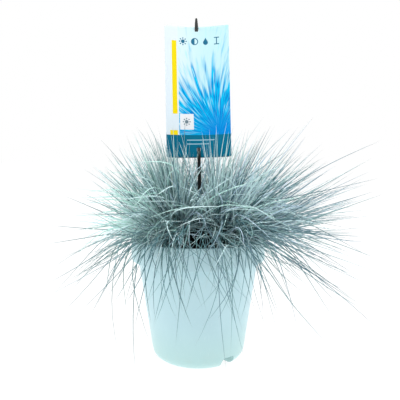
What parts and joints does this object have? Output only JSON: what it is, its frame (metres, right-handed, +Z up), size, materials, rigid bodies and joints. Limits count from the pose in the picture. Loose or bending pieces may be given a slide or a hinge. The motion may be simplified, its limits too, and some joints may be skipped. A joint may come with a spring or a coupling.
{
  "type": "potted blue fescue clump",
  "caption": "Clump of needle-leaved, blue-grey ornamental grass in a pale plastic nursery pot, with a plant label card on a slim black stake.",
  "frame": {"origin": "on the floor, at the middle of the object's box, which is also the pot's axis", "axes": "+Z up along the pot's axis, -Y towards the front that the label card faces, +X to its right"},
  "size_m": [0.423, 0.423, 0.4326],
  "materials": {
    "pot_plastic": "pale aqua, thin moulded plastic with a soft satin face",
    "peat": "dark, crumbly peat potting soil",
    "dry_thatch": "dry grey-brown leaf sheaths and thatch",
    "fescue_leaf": "waxy blue-grey needle leaves with a matt bloom",
    "printed_card": "thin printed plastic card with a soft gloss",
    "stake_plastic": "black moulded plastic"
  },
  "bodies": {
    "root": {"pot": "pot_plastic", "potting_soil": "peat", "crown": "dry_thatch", "leaf_tuft_01": "fescue_leaf", "leaf_tuft_02": "fescue_leaf", "leaf_tuft_03": "fescue_leaf", "leaf_tuft_04": "fescue_leaf", "leaf_tuft_05": "fescue_leaf", "leaf_tuft_06": "fescue_leaf", "leaf_tuft_07": "fescue_leaf", "leaf_tuft_08": "fescue_leaf", "leaf_tuft_09": "fescue_leaf", "leaf_tuft_10": "fescue_leaf", "leaf_tuft_11": "fescue_leaf", "leaf_tuft_12": "fescue_leaf", "leaf_tuft_13": "fescue_leaf", "leaf_tuft_14": "fescue_leaf", "leaf_tuft_15": "fescue_leaf", "leaf_tuft_16": "fescue_leaf", "leaf_tuft_17": "fescue_leaf", "leaf_tuft_18": "fescue_leaf", "leaf_tuft_19": "fescue_leaf", "leaf_tuft_20": "fescue_leaf", "leaf_tuft_21": "fescue_leaf", "leaf_tuft_22": "fescue_leaf", "leaf_tuft_23": "fescue_leaf", "leaf_tuft_24": "fescue_leaf", "leaf_tuft_25": "fescue_leaf", "leaf_tuft_26": "fescue_leaf", "leaf_tuft_27": "fescue_leaf", "leaf_tuft_28": "fescue_leaf", "leaf_tuft_29": "fescue_leaf", "leaf_tuft_30": "fescue_leaf", "leaf_tuft_31": "fescue_leaf", "leaf_tuft_32": "fescue_leaf", "leaf_tuft_33": "fescue_leaf", "leaf_tuft_34": "fescue_leaf", "leaf_tuft_35": "fescue_leaf", "leaf_tuft_36": "fescue_leaf", "leaf_tuft_37": "fescue_leaf", "leaf_tuft_38": "fescue_leaf", "leaf_tuft_39": "fescue_leaf", "leaf_tuft_40": "fescue_leaf", "leaf_tuft_41": "fescue_leaf", "label_card": "printed_card", "label_stake": "stake_plastic"}
  },
  "joints": []
}
